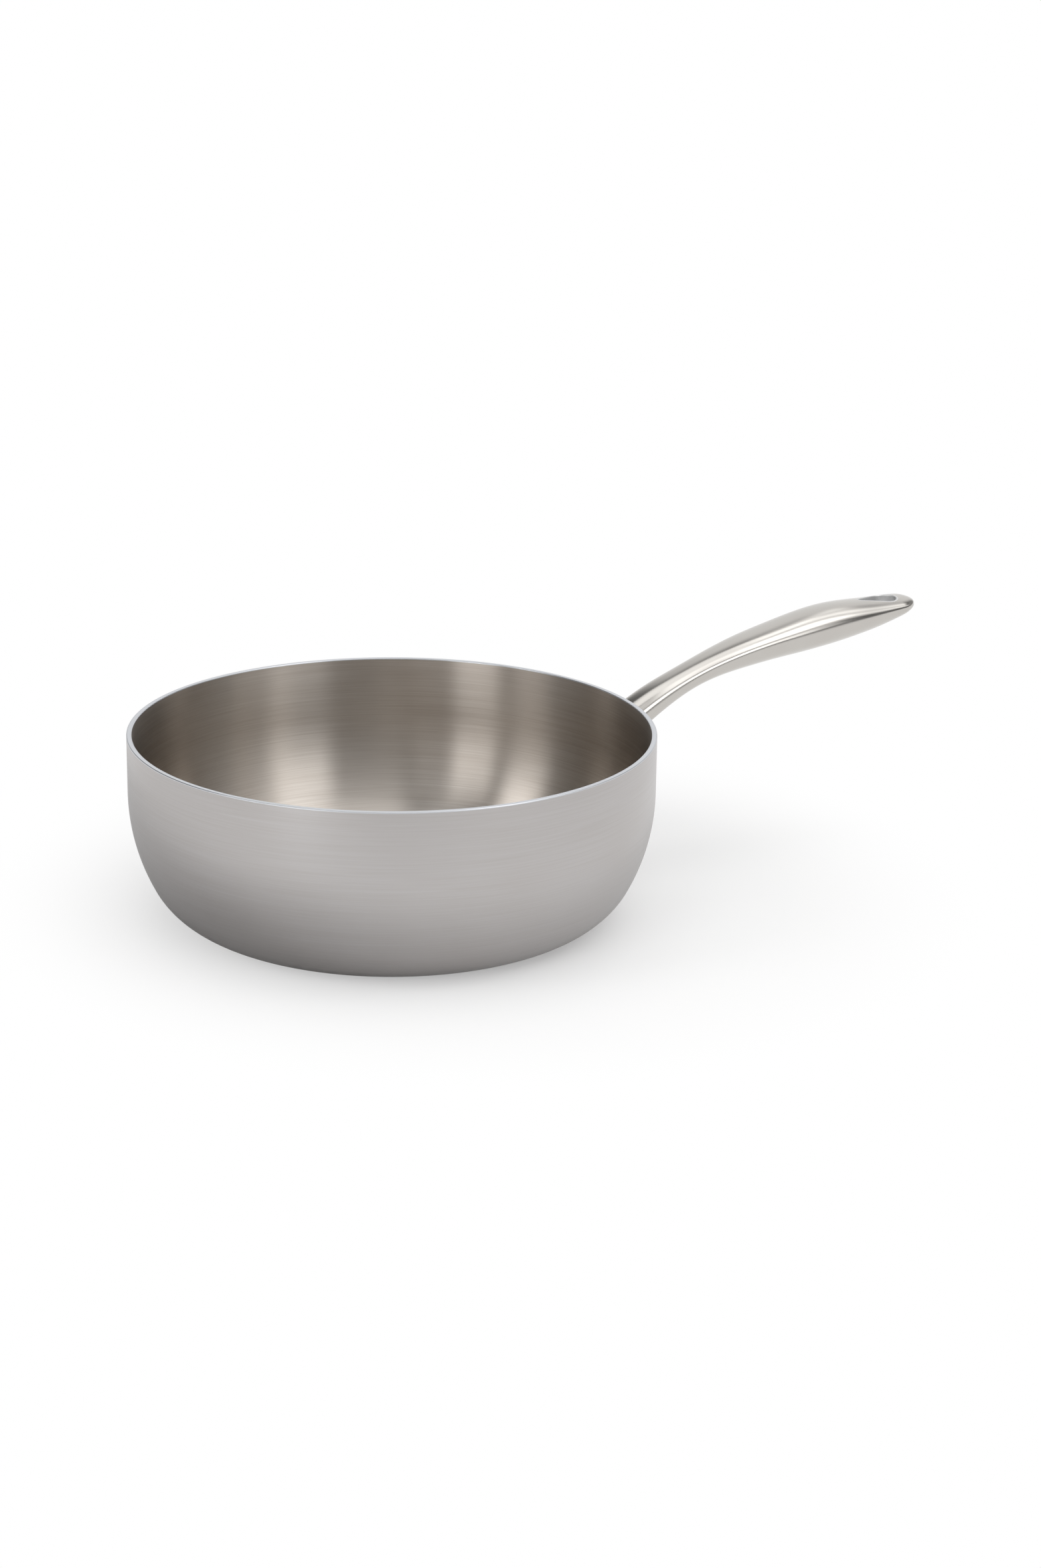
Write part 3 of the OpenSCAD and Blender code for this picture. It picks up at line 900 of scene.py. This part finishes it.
def floor_material():
    """Pale matt paper sweep: it keeps the shadow near the pan and fades to white."""
    material = bpy.data.materials.new("white_paper_sweep")
    material.use_nodes = True
    tree = material.node_tree
    tree.nodes.clear()
    matt = add(tree, "ShaderNodeBsdfDiffuse", {"Color": linear(PAPER)}).outputs[0]
    lift = add(tree, "ShaderNodeEmission", {"Color": (1, 1, 1, 1), "Strength": PAPER_LIFT})
    lifted = add(tree, "ShaderNodeAddShader", {0: matt, 1: lift.outputs[0]})
    seen = white_past(tree, lifted.outputs[0], SEEN_FADE)
    mirrored = add(tree, "ShaderNodeMixShader", {
        "Fac": light_path_any(tree, "Is Glossy Ray", "Is Transmission Ray"),
        1: matt, 2: white_past(tree, matt, MIRRORED_FADE)})
    mixed = add(tree, "ShaderNodeMixShader", {
        "Fac": light_path_any(tree, "Is Camera Ray"), 1: mirrored.outputs[0], 2: seen})
    add(tree, "ShaderNodeOutputMaterial", {"Surface": mixed.outputs[0]})
    return material


def floor():
    """The sweep that the pan stands on, as one large flat sheet."""
    corners = [(-1, -1), (1, -1), (1, 1), (-1, 1)]
    mesh = bpy.data.meshes.new("studio_floor")
    mesh.from_pydata([(x * FLOOR_HALF, y * FLOOR_HALF, 0) for x, y in corners], [],
                     [(0, 1, 2, 3)])
    mesh.materials.append(floor_material())
    piece = bpy.data.objects.new("studio_floor", mesh)
    bpy.context.collection.objects.link(piece)


# A panel is full up to the first of these times its half size, and fades out by the second
PANEL_EDGE = (0.5, 1.35)


def soft_mask(tree, value, middle, half):
    """1 near the middle, fading softly about half degrees off it; value is an angle."""
    full, gone = (math.radians(half * part) for part in PANEL_EDGE)
    apart = add(tree, "ShaderNodeMath", {0: value, 1: math.radians(middle)},
                operation="SUBTRACT").outputs[0]
    turned = add(tree, "ShaderNodeMath", {0: apart, 1: math.pi, 2: -math.pi},
                 operation="WRAP").outputs[0]
    away = add(tree, "ShaderNodeMath", {0: turned}, operation="ABSOLUTE").outputs[0]
    return add(tree, "ShaderNodeMapRange", {
        "Value": away, "From Min": gone, "From Max": full, "To Min": 0.0, "To Max": 1.0},
        interpolation_type="SMOOTHSTEP").outputs[0]


# Soft panels of the room: degrees right of the camera, degrees up, half width, half height
# and level. They give the streaks in the bowl and the band of light along the handle.
PANELS = [
    (-84, 25, 10, 20, 0.25),
    (-67, 31, 12, 12, 3.0),
    (-37, 15, 11, 12, 3.4),
    (-33, 50, 14, 10, 0.5),
    (-20, 22, 12, 16, 0.6),
    (17, 50, 26, 20, 0.95),
    (47, 22, 15, 9, 2.7),
    (66, 22, 7, 10, 0.6),
    (74, 38, 12, 9, 0.6),
    (70, 54, 24, 16, 2.0),
    (98, 37, 14, 11, 0.8),
    (108, 57, 26, 12, 0.7),
    (122, 22, 25, 15, 0.2),
    (135, 58, 28, 14, 1.0),
    (175, 25, 25, 35, 0.8),
]
# Level of the room between them, by degrees up
ROOM_LEVELS = [(0, 0.15), (62, 0.15), (76, 0.65), (90, 0.7)]
# The white backdrop that the metal shows ends this many degrees up
BACKDROP_TOP = 10


def world():
    """A soft studio room with pale panels, white to the camera and low in the metal."""
    studio = bpy.data.worlds.new("studio_room")
    studio.use_nodes = True
    tree = studio.node_tree
    tree.nodes.clear()
    direction = add(tree, "ShaderNodeTexCoord").outputs["Generated"]
    height = add(tree, "ShaderNodeSeparateXYZ", {0: direction}).outputs["Z"]
    up = add(tree, "ShaderNodeMath", {0: height}, operation="ARCSINE").outputs[0]
    right, _, back = view_axes()
    level_back = Vector((back.x, back.y, 0.0)).normalized()
    sides = [add(tree, "ShaderNodeVectorMath", {0: direction, 1: axis},
                 operation="DOT_PRODUCT").outputs["Value"] for axis in (right, level_back)]
    around = add(tree, "ShaderNodeMath", {0: sides[0], 1: sides[1]},
                 operation="ARCTAN2").outputs[0]
    share = add(tree, "ShaderNodeMath", {0: up, 1: 2 / math.pi}, operation="MULTIPLY")
    level = ramp(tree, share.outputs[0], [(a / 90, value) for a, value in ROOM_LEVELS])
    for azimuth, elevation, half_wide, half_high, bright in PANELS:
        both = add(tree, "ShaderNodeMath", {
            0: soft_mask(tree, around, azimuth, half_wide),
            1: soft_mask(tree, up, elevation, half_high)}, operation="MULTIPLY")
        level = add(tree, "ShaderNodeMath", {
            0: both.outputs[0], 1: bright, 2: level}, operation="MULTIPLY_ADD").outputs[0]
    room = add(tree, "ShaderNodeBackground", {"Color": level, "Strength": 1.0})
    white = add(tree, "ShaderNodeBackground", {"Color": (1, 1, 1, 1), "Strength": 1.0})
    low = add(tree, "ShaderNodeMapRange", {
        "Value": up, "From Min": math.radians(BACKDROP_TOP), "From Max": 0.0})
    mirrored = add(tree, "ShaderNodeMath", {
        0: light_path_any(tree, "Is Glossy Ray"), 1: low.outputs[0]}, operation="MULTIPLY")
    seen = add(tree, "ShaderNodeMath", {
        0: light_path_any(tree, "Is Camera Ray", "Is Transmission Ray"),
        1: mirrored.outputs[0]}, operation="MAXIMUM")
    mixed = add(tree, "ShaderNodeMixShader", {
        "Fac": seen.outputs[0], 1: room.outputs[0], 2: white.outputs[0]})
    add(tree, "ShaderNodeOutputWorld", {"Surface": mixed.outputs[0]})
    bpy.context.scene.world = studio


def softbox(name, place, aim, width, height, power):
    """A soft white studio lamp at place, facing aim, in metres and watts."""
    lamp = bpy.data.lights.new(name, "AREA")
    lamp.shape = "RECTANGLE"
    lamp.size = width
    lamp.size_y = height
    lamp.energy = power
    piece = bpy.data.objects.new(name, lamp)
    bpy.context.collection.objects.link(piece)
    facing = (Vector(aim) - Vector(place)).to_track_quat("-Z", "Y")
    piece.matrix_world = Matrix.Translation(place) @ facing.to_matrix().to_4x4()


# The photograph's camera, as its outlines of the rim and the base give it; in radians
VIEW_AZIMUTH = math.radians(-34)
VIEW_ELEVATION = 0.31381
VIEW_ROLL = 0.01357
VIEW_DISTANCE = 12 * BOWL_R * MM
FOCAL_PIXELS = 4782.0
PICTURE_SIZE = (1568, 2362)
# Where the middle of the rim lies in the picture, before the roll
RIM_MIDDLE_AT = (590.30, 1100.41)


def view_axes():
    """Right, up and back directions of the photograph's camera, without its roll."""
    a, e = VIEW_AZIMUTH, VIEW_ELEVATION
    right = Vector((math.cos(a), math.sin(a), 0.0))
    back = Vector((math.sin(a) * math.cos(e), -math.cos(a) * math.cos(e), math.sin(e)))
    return right, back.cross(right), back


def camera():
    """The photograph's view: its rim's middle, its size in the picture and its small roll."""
    right, up, back = view_axes()
    across = (RIM_MIDDLE_AT[0] - PICTURE_SIZE[0] / 2) / FOCAL_PIXELS * VIEW_DISTANCE
    above = (PICTURE_SIZE[1] / 2 - RIM_MIDDLE_AT[1]) / FOCAL_PIXELS * VIEW_DISTANCE
    rim_middle = Vector((0.0, 0.0, BOWL_H * MM))
    place = rim_middle - across * right - above * up + VIEW_DISTANCE * back
    c, s = math.cos(VIEW_ROLL), math.sin(VIEW_ROLL)
    rolled_right, rolled_up = c * right + s * up, c * up - s * right
    lens = bpy.data.cameras.new("photo_view")
    lens.sensor_width = 36.0
    lens.lens = FOCAL_PIXELS * lens.sensor_width / PICTURE_SIZE[1]
    lens.clip_end = 100.0
    piece = bpy.data.objects.new("photo_view", lens)
    bpy.context.collection.objects.link(piece)
    piece.matrix_world = Matrix((
        (rolled_right.x, rolled_up.x, back.x, place.x),
        (rolled_right.y, rolled_up.y, back.y, place.y),
        (rolled_right.z, rolled_up.z, back.z, place.z),
        (0.0, 0.0, 0.0, 1.0)))
    bpy.context.scene.camera = piece


def in_view(right_m, up_m, back_m):
    """A place in the room, from the middle of the base: the picture's right, up, and level
    towards the camera."""
    right, _, back = view_axes()
    level_back = Vector((back.x, back.y, 0.0)).normalized()
    return right * right_m + Vector((0.0, 0.0, up_m)) + level_back * back_m


floor()
world()
camera()
softbox("overhead_softbox", place=in_view(0.0, 1.6, -0.2), aim=(0, 0, 0.05),
        width=1.4, height=1.0, power=3.5)

scene = bpy.context.scene
scene.view_settings.view_transform = "Standard"
